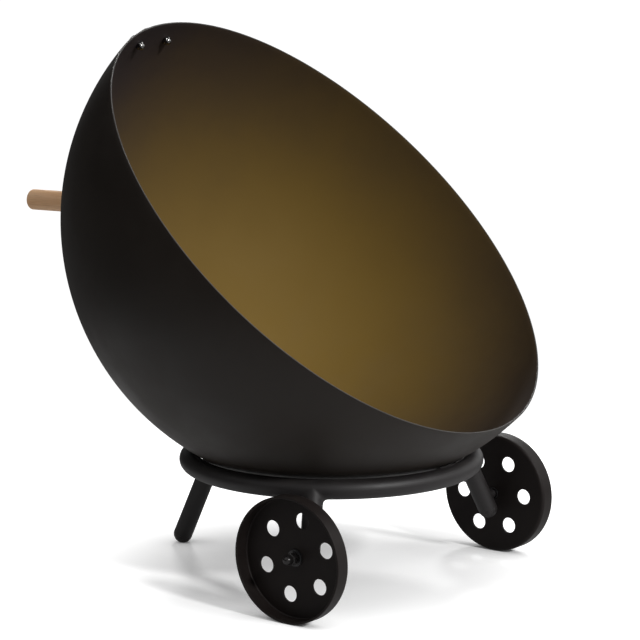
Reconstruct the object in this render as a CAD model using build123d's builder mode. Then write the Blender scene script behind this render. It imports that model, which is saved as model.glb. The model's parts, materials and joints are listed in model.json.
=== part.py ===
from build123d import *
from math import asin, atan2, cos, degrees, radians, sin, sqrt, tan
import os

# Fire bowl on a ring stand with two wheels. Millimetres, +Z up, floor at Z = 0.
# X runs across the stand from wheel to wheel, and the open side of the bowl faces -Y.
# The origin is on the floor, in the middle of the whole object's box.

# Bowl: half a globe of sheet steel, tipped forward, and turned and rolled a little in its ring
bowl_radius = 300.0
bowl_wall = 2.0
bowl_tilt = 45.0
bowl_turn = 7.0
bowl_roll = 3.0
rim_rounding = 0.6

# Ring and legs, bent and cut from one size of tube
tube_radius = 11.0
tube_wall = 2.0
ring_radius = 160.0
ring_height = 131.4
leg_lean = 25.5
leg_saw_offset = 0.5
vent_radius = 4.0
plug_stem = 6.0
plug_play = 0.1
plug_to_axle = 1.0
foot_flat_radius = 4.0

# Pads on the ring that carry the bowl, halfway between the legs
pad_thickness = 1.0
pad_sweep = 10.0
pad_wrap = 56.0
bowl_play = 0.3

# Wheels: pressed pans with a thin disc inside and a flange facing outwards
wheel_radius = 68.6
wheel_wall = 2.5
wheel_depth = 19.5
wheel_corner = 4.0
wheel_edge_rounding = 0.8
wheel_clearance = 10.5
hole_count = 6
hole_radius = 8.8
hole_circle_radius = 41.4
wheel_turns = {"left": 18.9, "right": 58.4}

# Axles and what is on them
shoulder_radius = 5.0
shoulder_inside = 5.0
journal_radius = 4.0
journal_play = 0.05
bush_sleeve_radius = 6.5
bush_flange_radius = 9.0
bush_flange = 2.5
bush_proud = 0.4
end_play = 0.3
washer_play = 0.2
inner_washer_radius = 6.5
inner_washer_thickness = 1.2
outer_washer_radius = 7.5
outer_washer_thickness = 1.6
axle_nut_flats = 12.0
axle_nut_hex = 5.5
axle_nut_height = 15.0
axle_nut_dome_radius = 5.4
axle_in_nut = 11.0

# Handle strap: a plate curved over the bowl's back, from below the rim to past the handle
strap_thickness = 4.0
strap_top_angle = 1.6
strap_end_angle = 49.0
strap_top_width = 80.0
strap_end_width = 44.0
strap_corner = 14.0
strap_seat = 0.2

# Screws that hold the strap to the bowl, with dome nuts inside
strap_screw_angle = 4.9
strap_screw_spacing = 59.0
strap_screw_radius = 3.0
strap_screw_hole_radius = 3.3
strap_head_radius = 5.4
strap_head_height = 3.3
strap_washer_radius = 6.5
strap_washer_thickness = 1.6
strap_washer_seat = 0.05
strap_nut_flats = 10.0
strap_nut_hex = 4.0
strap_nut_height = 8.0
strap_nut_dome_radius = 4.5
strap_nut_seat = 0.06
strap_screw_in_nut = 5.5

# Handle: a round wooden bar standing on the strap, held by one long screw from inside
handle_angle = 45.0
handle_radius = 12.0
handle_length = 95.5
handle_rounding = 5.0
handle_seat = 0.05
handle_screw_radius = 4.0
handle_screw_play = 0.3
handle_screw_depth = 50.0
handle_head_radius = 7.0
handle_head_height = 4.0
handle_head_seat = 0.1

edge_break = 0.5
cut_past = 1.0

# What follows from those sizes
ring_to_bowl = bowl_radius + bowl_play + pad_thickness + tube_radius
ring_drop = sqrt(ring_to_bowl**2 - ring_radius**2)
bowl_height = ring_height + ring_drop
foot_ball_height = sqrt(tube_radius**2 - foot_flat_radius**2)
rear_leg_length = (ring_height - foot_ball_height) / cos(radians(leg_lean))
axle_height = wheel_radius
axle_on_leg = (ring_height - axle_height) / cos(radians(leg_lean))
leg_angles = {"rear": 90.0, "left": 210.0, "right": 330.0}
pad_angles = [angle + 180.0 / len(leg_angles) for angle in leg_angles.values()]

# A front leg and its axle cross at a slant, so the hole through the leg is stretched
axle_slant = asin(sin(radians(leg_lean)) * cos(radians(leg_angles["right"])))
leg_skin = tube_radius / cos(axle_slant)
hole_reach = shoulder_radius / cos(axle_slant) + (tube_radius - tube_wall) * tan(axle_slant)
cross_hole_reach = leg_skin + shoulder_radius * tan(axle_slant) + cut_past
front_leg_length = axle_on_leg + hole_reach + plug_to_axle + plug_stem

strap_inner_radius = bowl_radius + strap_seat
strap_outer_radius = strap_inner_radius + strap_thickness
handle_start = strap_outer_radius + handle_seat
handle_end = handle_start + handle_length
sides = {"left": -1, "right": 1}

# How the bowl lies: its own frame has z out of the opening, and the handle on its +y side
bowl_pose = Plane.XY.rotated((0, 0, bowl_roll)).rotated((bowl_tilt, 0, 0)).rotated((0, 0, bowl_turn))


def below_rim(angle):
    """Direction from the bowl's centre to its back, at an angle below the rim."""
    a = radians(angle)
    return bowl_pose.y_dir * cos(a) - bowl_pose.z_dir * sin(a)


# The stand's middle, placed so that the origin is under the middle of the object's box
handle_out = below_rim(handle_angle)
handle_skin_reach = (handle_radius - handle_rounding) * sqrt(1 - handle_out.Y**2) + handle_rounding
handle_reach = (handle_end - handle_rounding) * handle_out.Y + handle_skin_reach
back_reach = max(bowl_radius, handle_reach)
front_reach = bowl_radius * sqrt(1 - bowl_pose.z_dir.Y**2)
right_reach = bowl_radius * sqrt(1 - bowl_pose.z_dir.X**2)
middle = Vector((bowl_radius - right_reach) / 2, (front_reach - back_reach) / 2, 0)
stand_axis = Axis(middle, (0, 0, 1))


def radial_plane(angle):
    """Upright plane through the stand's axis: x runs outwards and y upwards."""
    a = radians(angle)
    return Plane(middle, x_dir=(cos(a), sin(a), 0), z_dir=(sin(a), -cos(a), 0))


def leg_plane(angle):
    """Plane square to a leg, where the leg's axis starts on the middle of the ring's tube."""
    a = radians(angle)
    out = Vector(cos(a), sin(a), 0)
    start = middle + out * ring_radius + Vector(0, 0, ring_height)
    down = out * sin(radians(leg_lean)) - Vector(0, 0, cos(radians(leg_lean)))
    return Plane(start, x_dir=(-sin(a), cos(a), 0), z_dir=down)


def axle_plane(side):
    """Plane square to an axle, where it crosses the leg's axis: z points to the wheel."""
    leg = leg_plane(leg_angles[side])
    crossing = leg.origin + leg.z_dir * axle_on_leg
    return Plane(crossing, x_dir=(0, 1, 0), z_dir=(sides[side], 0, 0))


def axle_section(side):
    """Upright plane along an axle: x points to the wheel and y upwards."""
    hub = axle_plane(side)
    return Plane(hub.origin, x_dir=hub.z_dir, z_dir=(0, -sides[side], 0))


bowl_centre = middle + Vector(0, 0, bowl_height)
bowl_section = Plane(bowl_centre, x_dir=bowl_pose.y_dir, z_dir=bowl_pose.x_dir)

# The strap's frame has x out of the bowl at the strap's middle and z down the strap
strap_half_angle = (strap_end_angle - strap_top_angle) / 2
strap_middle_angle = strap_top_angle + strap_half_angle
strap_out = below_rim(strap_middle_angle)
strap_across = bowl_pose.x_dir
strap_down = strap_out.cross(strap_across)
strap_axis = Axis(bowl_centre, strap_down)


def strap_section(angle):
    """Plane along the strap, swung about its long axis: x points outwards, y down the strap."""
    a = radians(angle)
    out = strap_out * cos(a) + strap_across * sin(a)
    return Plane(bowl_centre, x_dir=out, z_dir=out.cross(strap_down))


def strap_screw_plane(across):
    """Plane through the bowl's centre that faces one of the strap's screws."""
    share = across / bowl_radius
    return Plane(bowl_centre, z_dir=below_rim(strap_screw_angle) * sqrt(1 - share**2) + strap_across * share)


def facing_in(plane, distance):
    """Plane at a distance from the bowl's centre that faces back to the centre."""
    return Plane(plane.offset(distance).origin, x_dir=plane.x_dir, z_dir=-plane.z_dir)


strap_screw_planes = [strap_screw_plane(strap_screw_spacing * side / 2) for side in (-1, 1)]
handle_plane = Plane(bowl_centre, x_dir=strap_across, z_dir=handle_out)


def rod(plane, start, end, radius):
    """Round bar along a plane's z, from start to end."""
    with BuildPart() as bar:
        with BuildSketch(plane.offset(start)):
            Circle(radius)
        extrude(amount=end - start)
    return bar.part


def hexagon(plane, start, end, flats):
    """Six-sided bar along a plane's z, from start to end."""
    with BuildPart() as bar:
        with BuildSketch(plane.offset(start)):
            RegularPolygon(flats / 2, 6, major_radius=False)
        extrude(amount=end - start)
    return bar.part


def button_head(plane, radius, height):
    """Low round screw head that stands on a plane."""
    with BuildPart() as head:
        add(rod(plane, 0, height, radius))
        crown = head.edges().filter_by(GeomType.CIRCLE).sort_by(Axis(plane.origin, plane.z_dir))[-1]
        fillet(crown, height - edge_break)
    return head.part


def dome_nut(plane, flats, hex_height, height, dome_radius):
    """Nut that stands on a plane: six flats below, a cap with a round end above."""
    with BuildPart() as nut:
        add(hexagon(plane, 0, hex_height, flats))
        with BuildSketch(Plane(plane.origin, x_dir=plane.z_dir, z_dir=plane.x_dir)):
            with BuildLine():
                foot = (0, 0)
                shoulder = (0, flats / 2)
                corner = (hex_height / 2, flats)
                high = (height, flats)
                Polyline(foot, shoulder, corner, high, (height, 0), foot)
            make_face()
        revolve(axis=Axis(plane.origin, plane.z_dir), mode=Mode.INTERSECT)
        add(rod(plane, 0, height - dome_radius, dome_radius))
        with Locations(plane.offset(height - dome_radius)):
            Sphere(dome_radius, arc_size1=0, align=(Align.CENTER, Align.CENTER, Align.MIN))
    return nut.part


# Stand ring, open into the three legs so that the closed tube can breathe
with BuildPart() as stand_ring:
    with BuildSketch(radial_plane(0)):
        with Locations((ring_radius, ring_height)):
            Circle(tube_radius)
            Circle(tube_radius - tube_wall, mode=Mode.SUBTRACT)
    revolve(axis=stand_axis)
    for angle in leg_angles.values():
        add(rod(leg_plane(angle), 0, tube_radius + cut_past, vent_radius), mode=Mode.SUBTRACT)

# Seat pads, curved over the ring's tube where the bowl comes nearest
with BuildPart() as seat_pads:
    seat_direction = degrees(atan2(ring_drop, -ring_radius))
    for angle in pad_angles:
        with BuildSketch(radial_plane(angle - pad_sweep / 2)):
            with BuildLine():
                start_angle = seat_direction - pad_wrap / 2
                centre = (ring_radius, ring_height)
                inner = CenterArc(centre, tube_radius, start_angle, pad_wrap)
                outer = CenterArc(centre, tube_radius + pad_thickness, start_angle, pad_wrap)
                Line(inner @ 0, outer @ 0)
                Line(inner @ 1, outer @ 1)
            make_face()
        revolve(axis=stand_axis, revolution_arc=pad_sweep)


def make_leg(name, length):
    """Straight tube, sawn square just past the middle of the ring's tube and coped to sit on it."""
    with BuildPart() as leg:
        with BuildSketch(leg_plane(leg_angles[name]).offset(leg_saw_offset)):
            Circle(tube_radius)
            Circle(tube_radius - tube_wall, mode=Mode.SUBTRACT)
        extrude(amount=length - leg_saw_offset)
        with BuildSketch(radial_plane(leg_angles[name])):
            with Locations((ring_radius, ring_height)):
                Circle(tube_radius)
        revolve(axis=stand_axis, mode=Mode.SUBTRACT)
        if name in sides:
            add(rod(axle_plane(name), 0, cross_hole_reach, shoulder_radius), mode=Mode.SUBTRACT)
    return leg


def make_plug(name, length):
    """Domed plug that closes a leg's lower end. The rear one stands on a small flat."""
    end = leg_plane(leg_angles[name]).offset(length)
    with BuildPart() as plug:
        with Locations(end):
            Sphere(tube_radius, arc_size1=0, align=(Align.CENTER, Align.CENTER, Align.MIN))
        add(rod(end, -plug_stem, 0, tube_radius - tube_wall - plug_play))
        if name == "rear":
            with BuildSketch(Plane((end.origin.X, end.origin.Y, 0))):
                Circle(tube_radius)
            extrude(amount=-tube_radius, mode=Mode.SUBTRACT)
    return plug


# Places along an axle, counted from the leg's axis towards the wheel
disc_inner = leg_skin + wheel_clearance
disc_outer = disc_inner + wheel_wall
lip = disc_inner + wheel_depth
bush_inner = disc_inner - bush_proud
bush_outer = disc_outer + bush_flange
inner_washer_end = bush_inner - end_play
shoulder_end = inner_washer_end - inner_washer_thickness
outer_washer_start = bush_outer + end_play
nut_start = outer_washer_start + outer_washer_thickness
axle_end = nut_start + axle_in_nut


def make_axle(side):
    """Turned pin: a shoulder set in the leg's outer wall, then the journal for the wheel."""
    hub = axle_plane(side)
    with BuildPart() as axle:
        add(rod(hub, -shoulder_inside, shoulder_end, shoulder_radius))
        chamfer(axle.edges().filter_by(GeomType.CIRCLE), edge_break)
        add(rod(hub, shoulder_end, axle_end, journal_radius))
    return axle


def make_washer(side, start, thickness, radius):
    hub = axle_plane(side)
    with BuildPart() as washer:
        add(rod(hub, start, start + thickness, radius))
        add(rod(hub, start, start + thickness, journal_radius + washer_play), mode=Mode.SUBTRACT)
    return washer


def make_axle_nut(side):
    """Dome nut on the axle's end, bored for the journal."""
    hub = axle_plane(side)
    seat = hub.offset(nut_start)
    with BuildPart() as nut:
        add(dome_nut(seat, axle_nut_flats, axle_nut_hex, axle_nut_height, axle_nut_dome_radius))
        add(rod(hub, nut_start, axle_end, journal_radius), mode=Mode.SUBTRACT)
    return nut


def make_wheel(side):
    """Pressed pan: disc, rounded corner and flange in one sheet, with a ring of holes."""
    hub = axle_plane(side)
    inner_corner = wheel_corner - wheel_wall
    with BuildPart() as wheel:
        with BuildSketch(axle_section(side)):
            with BuildLine():
                sheet = FilletPolyline(
                    (disc_inner, bush_sleeve_radius),
                    (disc_inner, wheel_radius),
                    (lip, wheel_radius),
                    (lip, wheel_radius - wheel_wall),
                    (disc_outer, wheel_radius - wheel_wall),
                    (disc_outer, bush_sleeve_radius),
                    radius=[wheel_corner, wheel_edge_rounding, wheel_edge_rounding, inner_corner],
                )
                Line(sheet @ 0, sheet @ 1)
            make_face()
        revolve(axis=Axis(hub.origin, hub.z_dir))
        with BuildSketch(hub.offset(disc_inner)):
            with PolarLocations(hole_circle_radius, hole_count, wheel_turns[side]):
                Circle(hole_radius)
        extrude(amount=wheel_wall, mode=Mode.SUBTRACT)
    return wheel


def make_bush(side):
    """Top-hat bearing: a sleeve through the disc and a flange on its outer face."""
    hub = axle_plane(side)
    with BuildPart() as bush:
        add(rod(hub, bush_inner, bush_outer, bush_sleeve_radius))
        add(rod(hub, disc_outer, bush_outer, bush_flange_radius))
        add(rod(hub, bush_inner, bush_outer, journal_radius + journal_play), mode=Mode.SUBTRACT)
    return bush


# Bowl shell: a quarter of a ring spun about the bowl's axis, then drilled for the screws
handle_screw_hole_radius = handle_screw_radius + handle_screw_play
with BuildPart() as bowl_shell:
    with BuildSketch(bowl_section):
        with BuildLine():
            outside = CenterArc((0, 0), bowl_radius, -90, 90)
            inside = CenterArc((0, 0), bowl_radius - bowl_wall, -90, 90)
            Line(outside @ 0, inside @ 0)
            Line(outside @ 1, inside @ 1)
        make_face()
        fillet(vertices().group_by(Axis.Y)[-1], rim_rounding)
    revolve(axis=Axis(bowl_centre, bowl_pose.z_dir))
    for plane in strap_screw_planes:
        add(rod(plane, 0, bowl_radius + cut_past, strap_screw_hole_radius), mode=Mode.SUBTRACT)
    add(rod(handle_plane, 0, bowl_radius + cut_past, handle_screw_hole_radius), mode=Mode.SUBTRACT)


# Handle strap: one section spun through a small angle about the strap's long axis,
# so that it lies on the globe, then cut to its outline
strap_reach = strap_outer_radius * sin(radians(strap_half_angle))
strap_cut_reach = strap_outer_radius + cut_past
strap_half_sweep = degrees(asin(strap_top_width / strap_inner_radius))
with BuildPart() as handle_strap:
    with BuildSketch(strap_section(-strap_half_sweep)):
        with BuildLine():
            under = CenterArc((0, 0), strap_inner_radius, -strap_half_angle, 2 * strap_half_angle)
            over = CenterArc((0, 0), strap_outer_radius, -strap_half_angle, 2 * strap_half_angle)
            Line(under @ 0, over @ 0)
            Line(under @ 1, over @ 1)
        make_face()
    revolve(axis=strap_axis, revolution_arc=2 * strap_half_sweep)
    with BuildSketch(Plane(bowl_centre, x_dir=strap_across, z_dir=strap_out)):
        with BuildLine():
            FilletPolyline(
                (-strap_top_width / 2, -strap_reach),
                (strap_top_width / 2, -strap_reach),
                (strap_end_width / 2, strap_reach),
                (-strap_end_width / 2, strap_reach),
                radius=strap_corner,
                close=True,
            )
        make_face()
    extrude(amount=strap_cut_reach, mode=Mode.INTERSECT)
    for plane in strap_screw_planes:
        add(rod(plane, 0, strap_cut_reach, strap_screw_hole_radius), mode=Mode.SUBTRACT)
    add(rod(handle_plane, 0, strap_cut_reach, handle_screw_hole_radius), mode=Mode.SUBTRACT)


# Places along a strap screw, counted from the bowl's centre outwards
nut_seat = bowl_radius - bowl_wall - strap_nut_seat
screw_tip = nut_seat - strap_screw_in_nut
washer_seat = strap_outer_radius + strap_washer_seat
head_seat = washer_seat + strap_washer_thickness

with BuildPart() as strap_screws:
    for plane in strap_screw_planes:
        add(button_head(plane.offset(head_seat), strap_head_radius, strap_head_height))
        add(rod(plane, screw_tip, head_seat, strap_screw_radius))

with BuildPart() as strap_washers:
    for plane in strap_screw_planes:
        add(rod(plane, washer_seat, head_seat, strap_washer_radius))
        add(rod(plane, washer_seat, head_seat, strap_screw_hole_radius), mode=Mode.SUBTRACT)

with BuildPart() as strap_nuts:
    for plane in strap_screw_planes:
        seat = facing_in(plane, nut_seat)
        add(dome_nut(seat, strap_nut_flats, strap_nut_hex, strap_nut_height, strap_nut_dome_radius))
        add(rod(plane, screw_tip, nut_seat, strap_screw_radius), mode=Mode.SUBTRACT)


# Handle bar, drilled for its screw
handle_head_start = bowl_radius - bowl_wall - handle_head_seat
handle_screw_tip = handle_start + handle_screw_depth
handle_line = Axis(bowl_centre, handle_out)

with BuildPart() as handle_bar:
    add(rod(handle_plane, handle_start, handle_end, handle_radius))
    fillet(edges().filter_by(GeomType.CIRCLE).sort_by(handle_line)[-1], handle_rounding)
    chamfer(edges().filter_by(GeomType.CIRCLE).sort_by(handle_line)[0], edge_break)
    add(rod(handle_plane, handle_start, handle_screw_tip, handle_screw_radius), mode=Mode.SUBTRACT)

with BuildPart() as handle_screw:
    add(button_head(facing_in(handle_plane, handle_head_start), handle_head_radius, handle_head_height))
    add(rod(handle_plane, handle_head_start, handle_screw_tip, handle_screw_radius))


pieces = {
    "stand_ring": stand_ring,
    "seat_pads": seat_pads,
    "rear_leg": make_leg("rear", rear_leg_length),
    "rear_foot": make_plug("rear", rear_leg_length),
    "bowl_shell": bowl_shell,
    "handle_strap": handle_strap,
    "strap_screws": strap_screws,
    "strap_washers": strap_washers,
    "strap_nuts": strap_nuts,
    "handle_bar": handle_bar,
    "handle_screw": handle_screw,
}
for side in sides:
    pieces[side + "_leg"] = make_leg(side, front_leg_length)
    pieces[side + "_leg_cap"] = make_plug(side, front_leg_length)
    pieces[side + "_axle"] = make_axle(side)
    pieces[side + "_inner_washer"] = make_washer(
        side, shoulder_end, inner_washer_thickness, inner_washer_radius
    )
    pieces[side + "_outer_washer"] = make_washer(
        side, outer_washer_start, outer_washer_thickness, outer_washer_radius
    )
    pieces[side + "_axle_nut"] = make_axle_nut(side)
    pieces[side + "_wheel"] = make_wheel(side)
    pieces[side + "_hub_bush"] = make_bush(side)

os.makedirs("parts", exist_ok=True)
for name, piece in pieces.items():
    piece.part.label = name
    export_step(piece.part, "parts/" + name + ".step")

print("bowl centre", bowl_centre, "facing", bowl_pose.z_dir)
for side in sides:
    print(side, "axle at", axle_plane(side).origin)
print("rear foot at", leg_plane(leg_angles["rear"]).offset(rear_leg_length).origin)
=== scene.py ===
import json
from math import atan2, cos, pi, radians, sin, sqrt, tan

import bmesh
import bpy
from mathutils import Matrix, Vector


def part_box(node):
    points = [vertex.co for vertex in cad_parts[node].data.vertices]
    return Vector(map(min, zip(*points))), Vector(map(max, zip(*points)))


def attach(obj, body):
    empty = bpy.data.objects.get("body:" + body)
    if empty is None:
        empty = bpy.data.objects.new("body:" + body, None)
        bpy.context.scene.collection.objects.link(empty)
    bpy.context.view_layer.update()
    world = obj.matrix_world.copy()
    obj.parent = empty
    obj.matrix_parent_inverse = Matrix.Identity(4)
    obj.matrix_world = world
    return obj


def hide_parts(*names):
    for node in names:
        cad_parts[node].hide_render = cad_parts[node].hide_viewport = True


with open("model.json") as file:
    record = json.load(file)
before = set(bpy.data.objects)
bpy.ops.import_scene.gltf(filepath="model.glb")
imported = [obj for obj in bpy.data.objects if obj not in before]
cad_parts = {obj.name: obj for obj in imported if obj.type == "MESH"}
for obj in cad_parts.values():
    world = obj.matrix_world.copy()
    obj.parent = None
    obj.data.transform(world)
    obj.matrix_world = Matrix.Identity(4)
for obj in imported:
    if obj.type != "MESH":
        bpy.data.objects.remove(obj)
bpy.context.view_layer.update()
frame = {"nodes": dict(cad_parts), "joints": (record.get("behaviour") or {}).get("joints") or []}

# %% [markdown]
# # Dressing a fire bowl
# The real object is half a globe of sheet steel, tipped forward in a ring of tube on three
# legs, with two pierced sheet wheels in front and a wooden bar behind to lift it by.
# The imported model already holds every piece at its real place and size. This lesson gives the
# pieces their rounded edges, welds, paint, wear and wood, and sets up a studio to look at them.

mm = 0.001
scene = bpy.context.scene
scene.view_settings.view_transform = "Standard"

# %% [markdown]
# ## Reading the places from the joints
# The bowl turns about the middle of its globe, and each wheel about its axle, so the joints
# say where those are. The tubes and the wheels are measured from their own boxes. Nothing is
# placed by eye, so every piece stays on what carries it.

# %% Places and sizes
joints = {joint["name"]: joint for joint in frame["joints"]}
globe_centre = Vector(joints["bowl_tilt"]["pos_m"])
tilt_axis = Vector(joints["bowl_tilt"]["axis"]).normalized()
bowl_turn = atan2(tilt_axis.y, tilt_axis.x)
bowl_tilt = radians(45)
bowl_roll = radians(3)
bowl_place = (
    Matrix.Translation(globe_centre)
    @ Matrix.Rotation(bowl_turn, 4, "Z")
    @ Matrix.Rotation(bowl_tilt, 4, "X")
    @ Matrix.Rotation(bowl_roll, 4, "Z")
)

ring_low, ring_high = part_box("stand_ring")
tube_radius = (ring_high.z - ring_low.z) / 2
ring_radius = (ring_high.x - ring_low.x) / 2 - tube_radius
ring_centre = (ring_low + ring_high) / 2
leg_lean = radians(25.5)
leg_angles = {"rear": 90, "left": 210, "right": 330}
sides = {"left": -1, "right": 1}
hubs = {side: Vector(joints[side + "_wheel_spin"]["pos_m"]) for side in sides}
bowl_radius = 299.95 * mm
bowl_wall = 2 * mm


def below_rim(angle):
    """Direction from the globe's middle to the bowl's back, at an angle below the rim."""
    return bowl_place.to_3x3() @ Vector((0, cos(radians(angle)), -sin(radians(angle))))


bowl_across = bowl_place.to_3x3() @ Vector((1, 0, 0))
handle_out = below_rim(45)
print("ring", round(ring_radius, 4), "tube", round(tube_radius, 4), "at height", round(ring_centre.z, 4))

# %% [markdown]
# ## Small helpers
# A node tree is easier to read when each node is one line, so `add_node` makes a node, sets
# its values and wires its inputs in a single call. `sockets` writes down a tree's named
# inputs and outputs.

# %% Helpers for node trees
def add_node(tree, kind, inputs=None, **settings):
    node = tree.nodes.new(kind)
    for key, value in settings.items():
        setattr(node, key, value)
    for key, value in (inputs or {}).items():
        if isinstance(value, bpy.types.NodeSocket):
            tree.links.new(value, node.inputs[key])
        else:
            node.inputs[key].default_value = value
    return node


def sockets(tree, direction, wanted):
    for name, (kind, value) in wanted.items():
        socket = tree.interface.new_socket(name, in_out=direction, socket_type="NodeSocket" + kind)
        if value is not None:
            socket.default_value = value


def math_node(tree, operation, *values):
    node = add_node(tree, "ShaderNodeMath", dict(enumerate(values)), operation=operation)
    return node.outputs[0]


def vector_math(tree, operation, *vectors, output="Value"):
    node = add_node(tree, "ShaderNodeVectorMath", dict(enumerate(vectors)), operation=operation)
    return node.outputs[output]


def map_range(tree, value, low, high, to_low=0.0, to_high=1.0):
    inputs = {"Value": value, "From Min": low, "From Max": high, "To Min": to_low, "To Max": to_high}
    return add_node(tree, "ShaderNodeMapRange", inputs, interpolation_type="SMOOTHSTEP").outputs[0]


print("node helpers ready")

# %% [markdown]
# ## Surface effects as node groups
# Paint, dust and wear come back on most of the pieces. Each is a group with named inputs,
# built once and placed in every material with its own values. A group only puts out masks
# and heights. The shader itself stays in the material.

# %% Paint texture: a fine peel and slow blotches
def shader_group(name, inputs, outputs):
    tree = bpy.data.node_groups.new(name, "ShaderNodeTree")
    sockets(tree, "INPUT", inputs)
    sockets(tree, "OUTPUT", outputs)
    return tree, tree.nodes.new("NodeGroupInput").outputs, tree.nodes.new("NodeGroupOutput").inputs


paint_texture, given, result = shader_group(
    "paint_texture",
    {"Peel scale": ("Float", 900.0), "Blotch scale": ("Float", 9.0)},
    {"Height": ("Float", None), "Blotch": ("Float", None)},
)
tree = paint_texture
where = tree.nodes.new("ShaderNodeTexCoord").outputs["Object"]
peel = add_node(tree, "ShaderNodeTexNoise", {"Vector": where, "Scale": given["Peel scale"], "Detail": 3.0})
blotch_inputs = {"Vector": where, "Scale": given["Blotch scale"], "Detail": 5.0, "Roughness": 0.6}
blotch = add_node(tree, "ShaderNodeTexNoise", blotch_inputs)
tree.links.new(peel.outputs[0], result["Height"])
tree.links.new(map_range(tree, blotch.outputs[0], 0.3, 0.7), result["Blotch"])
print("group", tree.name, "has", len(tree.nodes), "nodes")

# %% [markdown]
# ### Worn edges
# Paint thins where two faces meet. A Bevel node gives the normal that the surface would have
# with rounded edges, and where it differs from the real normal there is an edge. Noise breaks
# the line up, because wear is never even.

# %% Edge wear
edge_wear, given, result = shader_group(
    "edge_wear",
    {"Width": ("Float", 0.0012), "Amount": ("Float", 0.5), "Break-up scale": ("Float", 120.0)},
    {"Mask": ("Float", None)},
)
tree = edge_wear
rounded = add_node(tree, "ShaderNodeBevel", {"Radius": given["Width"]}, samples=6)
flat = tree.nodes.new("ShaderNodeNewGeometry").outputs["Normal"]
likeness = vector_math(tree, "DOT_PRODUCT", rounded.outputs[0], flat)
where = tree.nodes.new("ShaderNodeTexCoord").outputs["Object"]
broken = add_node(
    tree, "ShaderNodeTexNoise", {"Vector": where, "Scale": given["Break-up scale"], "Detail": 4.0}
)
edge = map_range(tree, math_node(tree, "SUBTRACT", 1.0, likeness), 0.01, 0.18)
patchy = math_node(tree, "MULTIPLY", edge, map_range(tree, broken.outputs[0], 0.42, 0.68))
tree.links.new(math_node(tree, "MULTIPLY", patchy, given["Amount"]), result["Mask"])
print("group", tree.name, "has", len(tree.nodes), "nodes")

# %% [markdown]
# ### Settled dust
# Dust only settles on what faces up, so the mask starts from the upward part of the
# surface's own normal and is broken up by noise. The same mask lays a little soot inside
# the bowl.

# %% Settled dust
settled_dust, given, result = shader_group(
    "settled_dust",
    {"Amount": ("Float", 0.2), "Scale": ("Float", 30.0)},
    {"Mask": ("Float", None)},
)
tree = settled_dust
texture_space = tree.nodes.new("ShaderNodeTexCoord").outputs
upward = add_node(tree, "ShaderNodeSeparateXYZ", {0: texture_space["Normal"]}).outputs["Z"]
speck = add_node(
    tree,
    "ShaderNodeTexNoise",
    {"Vector": texture_space["Object"], "Scale": given["Scale"], "Detail": 8.0, "Roughness": 0.7},
)
lying = math_node(
    tree, "MULTIPLY", map_range(tree, upward, 0.1, 0.95), map_range(tree, speck.outputs[0], 0.38, 0.75)
)
tree.links.new(math_node(tree, "MULTIPLY", lying, given["Amount"]), result["Mask"])
print("group", tree.name, "has", len(tree.nodes), "nodes")

# %% [markdown]
# ## One way to wire a finish
# Every finish ends alike: a colour, a roughness and a fine relief go into one Principled
# shader. So that is one function, and each recipe only says what it feeds to it.

# %% Helpers for materials
def mix_colour(tree, factor, first, second):
    node = add_node(tree, "ShaderNodeMix", {"Factor": factor}, data_type="RGBA")
    for socket, value in ((node.inputs[6], first), (node.inputs[7], second)):
        if isinstance(value, bpy.types.NodeSocket):
            tree.links.new(value, socket)
        else:
            socket.default_value = value
    return node.outputs[2]


def new_material(name):
    material = bpy.data.materials.new(name)
    material.use_nodes = True
    return material, material.node_tree, material.node_tree.nodes["Principled BSDF"]


def finish_shader(tree, shader, colour, rough, relief, specular, invert=False):
    """Wire a finish. Its relief is a height, a strength and a depth in metres."""
    height, strength, depth = relief
    inputs = {"Height": height, "Strength": strength, "Distance": depth}
    bump = add_node(tree, "ShaderNodeBump", inputs, invert=invert)
    for socket, value in (("Base Color", colour), ("Roughness", rough), ("Normal", bump.outputs[0])):
        tree.links.new(value, shader.inputs[socket])
    shader.inputs["Specular IOR Level"].default_value = specular


def use_group(tree, group, **values):
    node = add_node(tree, "ShaderNodeGroup", node_tree=group)
    for key, value in values.items():
        node.inputs[key.replace("_", " ")].default_value = value
    return node.outputs


print("material helpers ready")

# %% [markdown]
# ## Black paint
# The bowl, the stand and the wheels are all painted steel, but not alike in colour and shine.
# One function builds their paints, so that the recipe is the same and only the values differ.

# %% The paint recipe
dust_colour = (0.16, 0.145, 0.13, 1)
bare_steel = (0.23, 0.21, 0.2, 1)


def paint(name, dark, light, roughness, specular, peel, wear, dust):
    material, tree, shader = new_material(name)
    texture = use_group(tree, paint_texture, Peel_scale=peel[0])
    worn = use_group(tree, edge_wear, Width=wear[0], Amount=wear[1])["Mask"]
    dusty = use_group(tree, settled_dust, Amount=dust)["Mask"]
    colour = mix_colour(tree, texture["Blotch"], dark, light)
    colour = mix_colour(tree, dusty, colour, dust_colour)
    colour = mix_colour(tree, worn, colour, bare_steel)
    rough = map_range(tree, texture["Blotch"], 0.0, 1.0, roughness[0], roughness[1])
    rough = math_node(tree, "ADD", rough, math_node(tree, "MULTIPLY", dusty, 0.4))
    finish_shader(tree, shader, colour, rough, (texture["Height"], peel[1], 0.2 * mm), specular)
    return material


print("paint recipe ready")

# %% [markdown]
# ### The paints
# The bowl's heat-proof coat is a warm near black with a dull sheen. The tubes are darker and
# shine more, and the wheels are the dullest. The welds have the stand's paint without worn
# edges, because their thin run-out would otherwise wear as one long edge.

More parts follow.
